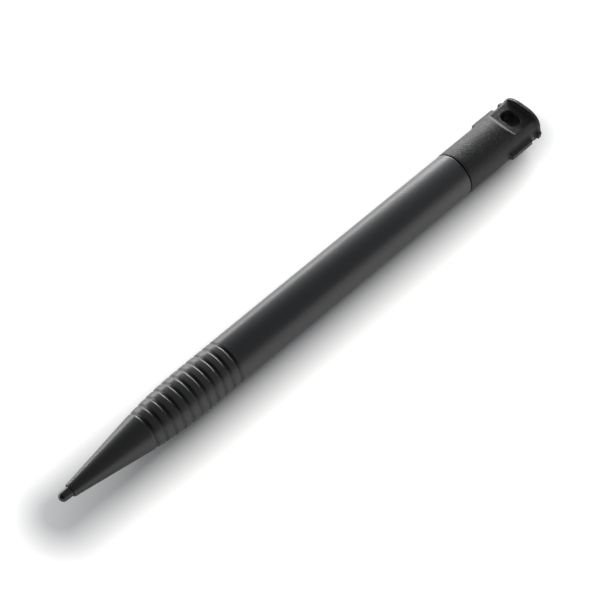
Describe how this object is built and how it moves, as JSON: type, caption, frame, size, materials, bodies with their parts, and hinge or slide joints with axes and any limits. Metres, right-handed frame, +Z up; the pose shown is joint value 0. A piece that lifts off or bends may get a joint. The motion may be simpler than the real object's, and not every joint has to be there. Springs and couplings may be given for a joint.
{
  "type": "digitizer stylus pen",
  "caption": "Slim black digitizer stylus with a conical nose, ribbed grip, round barrel and a tail cap with side rails and a tether slot.",
  "frame": {"origin": "centre of the pen's box, at its lowest point, on the surface it lies on", "axes": "+X along the pen from tip to tail, +Z up, square to the tether flats; the side rails point along +Y and -Y"},
  "size_m": [0.1188, 0.0108, 0.0091],
  "materials": {
    "nib_plastic": "polished black acetal",
    "satin_plastic": "smooth satin black moulding",
    "grip_plastic": "smooth satin black ribs",
    "barrel_plastic": "very fine spark texture, satin black",
    "cap_plastic": "fine spark texture, matt black",
    "seal_rubber": "black silicone",
    "ferrite": "sintered, dark grey",
    "natural_nylon": "natural acetal",
    "copper_wire": "enamelled copper",
    "sensor_plastic": "black moulding",
    "spring_steel": "drawn wire",
    "white_ceramic": "fired ceramic",
    "contact_brass": "bright brass",
    "board_laminate": "green solder mask",
    "capacitor_ceramic": "tan ceramic with tinned ends",
    "resistor_coat": "black glaze with tinned ends",
    "damper_foam": "closed-cell foam"
  },
  "bodies": {
    "housing": {"nose_cone": "satin_plastic", "grip_sleeve": "grip_plastic", "barrel": "barrel_plastic", "tail_cap": "cap_plastic", "cap_seal": "seal_rubber", "ferrite_core": "ferrite", "coil_bobbin": "natural_nylon", "coil_winding": "copper_wire", "coil_lead_left": "copper_wire", "coil_lead_right": "copper_wire", "sensor_housing": "sensor_plastic", "return_spring": "spring_steel", "ceramic_disc": "white_ceramic", "disc_contact": "contact_brass", "sensor_base": "sensor_plastic", "sensor_pin_left": "spring_steel", "sensor_pin_right": "spring_steel", "board_carrier": "sensor_plastic", "circuit_board": "board_laminate", "trimmer_body": "white_ceramic", "chip_capacitor_1": "capacitor_ceramic", "chip_capacitor_2": "capacitor_ceramic", "chip_capacitor_3": "capacitor_ceramic", "chip_capacitor_4": "capacitor_ceramic", "chip_resistor": "resistor_coat", "rear_damper": "damper_foam"},
    "plunger": {"nib_holder": "natural_nylon", "rubber_electrode": "seal_rubber"},
    "writing_nib": {"nib": "nib_plastic"},
    "trimmer": {"trimmer_rotor": "contact_brass"}
  },
  "joints": [
    {"name": "nib_press", "type": "slide", "parent": "housing", "child": "plunger", "axis": [1, 0, 0], "range_m": [0, 0.0003], "stiffness_N_per_m": 600, "springref_m": -0.0005, "deforming": ["return_spring"]},
    {"name": "nib_removal", "type": "slide", "parent": "plunger", "child": "writing_nib", "axis": [-1, 0, 0], "range_m": [0, 0.03]},
    {"name": "trimmer_turn", "type": "hinge", "parent": "housing", "child": "trimmer", "pos_m": [-0.0024, 0, 0.0065], "axis": [0, 0, 1], "range_deg": [-90, 90]}
  ]
}
